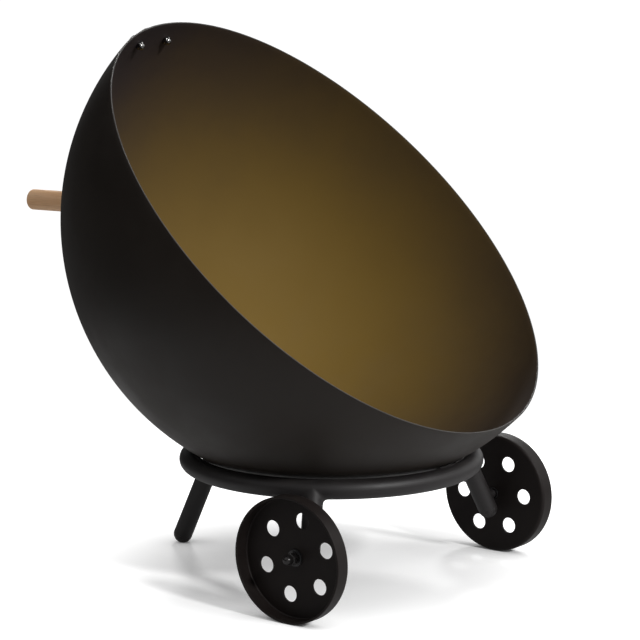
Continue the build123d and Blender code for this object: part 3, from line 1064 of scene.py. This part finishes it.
# %% Handle bar
handle_radius = 12 * mm
handle_start = 304.25 * mm
handle_end = 399.74 * mm
handle_rounding = 5 * mm
foot_chamfer = 0.5 * mm
flat_end = handle_radius - handle_rounding
profile = [(0, handle_start), (handle_radius - foot_chamfer, handle_start)]
profile += [(handle_radius, handle_start + foot_chamfer)]
profile += [(handle_radius, handle_start * (1 - share) + handle_end * share) for share in (0.3, 0.6)]
profile += arc((flat_end, handle_end - handle_rounding), handle_rounding, 0, 90, 10)
profile += [(flat_end / 2, handle_end), (0, handle_end)]
bar_place = axes_place(globe_centre, bowl_across, handle_out.cross(bowl_across), handle_out)
bar = lathe("handle_bar_wood", profile, [handle_wood], bar_place, 72)
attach(bar, "bowl")
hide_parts("handle_bar")
print("handle bar points along", [round(c, 4) for c in handle_out])

# %% [markdown]
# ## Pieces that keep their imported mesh
# The strap, the pads and the small hardware already have the right shape. They only get their
# finish: the strap is painted with the bowl, the pads and axles with the stand, the bushes are
# black plastic, and the rest is bare or blackened metal.

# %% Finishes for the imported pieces
finishes = {
    "handle_strap": coat_outside,
    "seat_pads": tube_paint,
    "strap_screws": zinc,
    "strap_washers": zinc,
    "handle_screw": zinc,
}
for side in sides:
    finishes[side + "_axle"] = tube_paint
    finishes[side + "_inner_washer"] = black_steel
    finishes[side + "_outer_washer"] = black_steel
    finishes[side + "_hub_bush"] = bush_plastic
for name, material in finishes.items():
    node = frame["nodes"][name]
    node.data.materials.clear()
    node.data.materials.append(material)
print(len(finishes), "packed pieces have a finish")

# %% [markdown]
# ## The studio floor
# The object stands on a sheet of white paper. Close by, the paper shows the shadows as the lamps throw them,
# and further out it fades to pure white, as a printer would clear the ground of a catalogue picture. The
# fade is a glow that only the camera and reflections see: the light that bounces from the floor onto the
# object is left as it is. Right under the wheels and feet the glow is held back, which paints a dark contact
# shadow there. From half a metre out the paper gives way to a dark studio floor, so that the globe's flank
# doesn't pick up a bright line.

# %% Floor
floor_mesh = bpy.data.meshes.new("floor")
floor_half = 40.0
floor_drop = 0.2 * mm
corners = [(x * floor_half, y * floor_half, -floor_drop) for x, y in ((-1, -1), (1, -1), (1, 1), (-1, 1))]
floor_mesh.from_pydata(corners, [], [(0, 1, 2, 3)])
floor_paper, tree, shader = new_material("floor_paper")
fade_start, fade_end = 0.12, 0.37
near_glow, far_glow, mirror_glow = 0.24, 0.95, 0.05
paper = add_node(tree, "ShaderNodeTexNoise", {"Scale": 60.0, "Detail": 4.0})
where = tree.nodes.new("ShaderNodeTexCoord").outputs["Object"]
tree.links.new(where, paper.inputs["Vector"])
paper_dark = (0.79, 0.79, 0.79, 1)
paper_light = (0.81, 0.81, 0.81, 1)
studio_floor = (0.10, 0.10, 0.10, 1)
sheet_colour = mix_colour(tree, paper.outputs[0], paper_dark, paper_light)
stand_foot = (globe_centre.x, globe_centre.y, 0)
reach = vector_math(tree, "DISTANCE", where, stand_foot)
sheet_start, sheet_end = 0.5, 1.0
beyond = map_range(tree, reach, sheet_start, sheet_end)
tree.links.new(mix_colour(tree, beyond, sheet_colour, studio_floor), shader.inputs["Base Color"])
shader.inputs["Roughness"].default_value = 0.9
shader.inputs["Specular IOR Level"].default_value = 0.0
rays = tree.nodes.new("ShaderNodeLightPath").outputs
mirrored = math_node(tree, "MAXIMUM", rays["Is Glossy Ray"], rays["Is Transmission Ray"])
# Ambient occlusion holds the glow back where something stands close over the paper. This is a painted dark
# contact shadow under the wheels and the feet.
contact_reach = 35 * mm
contact = add_node(tree, "ShaderNodeAmbientOcclusion", {"Distance": contact_reach}, samples=16)
open_above = contact.outputs["AO"]
fading = map_range(tree, reach, fade_start, fade_end, near_glow, far_glow)
glow = math_node(tree, "MULTIPLY", rays["Is Camera Ray"], math_node(tree, "MULTIPLY", fading, open_above))
mirrored = math_node(tree, "MULTIPLY", mirrored, math_node(tree, "SUBTRACT", 1.0, beyond))
glow = math_node(tree, "MAXIMUM", glow, math_node(tree, "MULTIPLY", mirrored, mirror_glow))
tree.links.new(glow, shader.inputs["Emission Strength"])
shader.inputs["Emission Color"].default_value = (1, 1, 1, 1)
floor = link("floor", floor_mesh, [floor_paper])
print("floor", 2 * floor_half, "m square")

# %% [markdown]
# ## The sky
# The room is brighter on the right than on the left, so a matt black globe gets its shape from
# a slow change of tone instead of a bright outline. The camera itself always sees white behind
# the object.

# %% Sky
camera_azimuth = radians(-52.967)
sky_strength = 0.2
sky_left = 0.03
sky_side = 0.55
world = bpy.data.worlds.new("studio")
scene.world = world
world.use_nodes = True
tree = world.node_tree
rays = tree.nodes.new("ShaderNodeLightPath").outputs
seen = math_node(tree, "MAXIMUM", rays["Is Glossy Ray"], rays["Is Transmission Ray"])
strength = map_range(tree, seen, 0.0, 1.0, sky_strength, 1.0)
to_right = (cos(camera_azimuth), sin(camera_azimuth), 0)
direction = tree.nodes.new("ShaderNodeTexCoord").outputs["Generated"]
rightward = vector_math(tree, "DOT_PRODUCT", direction, to_right)
across_sky = map_range(tree, rightward, -sky_side, sky_side, sky_left, 1.0)
strength = math_node(tree, "MULTIPLY", strength, across_sky)
strength = math_node(tree, "MAXIMUM", strength, rays["Is Camera Ray"])
tree.links.new(strength, tree.nodes["Background"].inputs["Strength"])
tree.nodes["Background"].inputs["Color"].default_value = (1, 1, 1, 1)
print("sky lights the room from the side of", [round(c, 2) for c in to_right])

# %% [markdown]
# ## The lamps
# A broad key lamp hangs above and to the right, with a broad fill lamp on the left. A smaller
# one in front throws the wheels' thin shadows backwards, and a weak one behind brings the rear
# leg's shadow forward. All four are suns, whose light doesn't weaken with distance, so their
# strength needs no fitting to the object's size.

# %% Lamps
def sun(name, energy, softness, came_from):
    """A broad lamp far away: softness is its angle across, in degrees."""
    lamp = bpy.data.lights.new(name, "SUN")
    lamp.energy = energy
    lamp.angle = radians(softness)
    lamp_object = bpy.data.objects.new(name, lamp)
    scene.collection.objects.link(lamp_object)
    lamp_object.rotation_euler = came_from.to_track_quat("Z", "Y").to_euler()
    print(name, "light comes from", [round(c, 2) for c in came_from.normalized()])


camera_turn = Matrix.Rotation(camera_azimuth, 3, "Z")
key_energy = 1.3
key_softness = 45
key_from = Vector((0.95, -0.10, 1.0))
fill_energy = 0.8
fill_softness = 60
fill_from = Vector((-0.70, -0.35, 1.0))
front_energy = 2.0
front_softness = 7
front_from = Vector((-0.20, -1.0, 0.62))
back_energy = 1.0
back_softness = 9
back_from = Vector((0.695, 0.419, 0.584))
sun("key", key_energy, key_softness, camera_turn @ key_from)
sun("fill", fill_energy, fill_softness, camera_turn @ fill_from)
sun("front", front_energy, front_softness, front_from)
sun("back", back_energy, back_softness, back_from)

# %% [markdown]
# ## The camera
# The camera stands where the photograph was taken from: a long lens about three metres away,
# a little above the bowl, looking past the wheels.

# %% Camera
camera_elevation = radians(9.707)
camera_roll = radians(0.103)
camera_from_globe = Vector((-2.4779, -1.8531, 0.4175))
lens_length = 158.23
camera = bpy.data.cameras.new("camera")
camera.lens = lens_length
camera.sensor_width = 36
camera_object = bpy.data.objects.new("camera", camera)
scene.collection.objects.link(camera_object)
turned = (
    Matrix.Rotation(camera_azimuth, 4, "Z")
    @ Matrix.Rotation(pi / 2 - camera_elevation, 4, "X")
    @ Matrix.Rotation(camera_roll, 4, "Z")
)
camera_object.matrix_world = Matrix.Translation(globe_centre + camera_from_globe) @ turned
scene.camera = camera_object
print("camera at", [round(c, 3) for c in camera_object.matrix_world.translation])
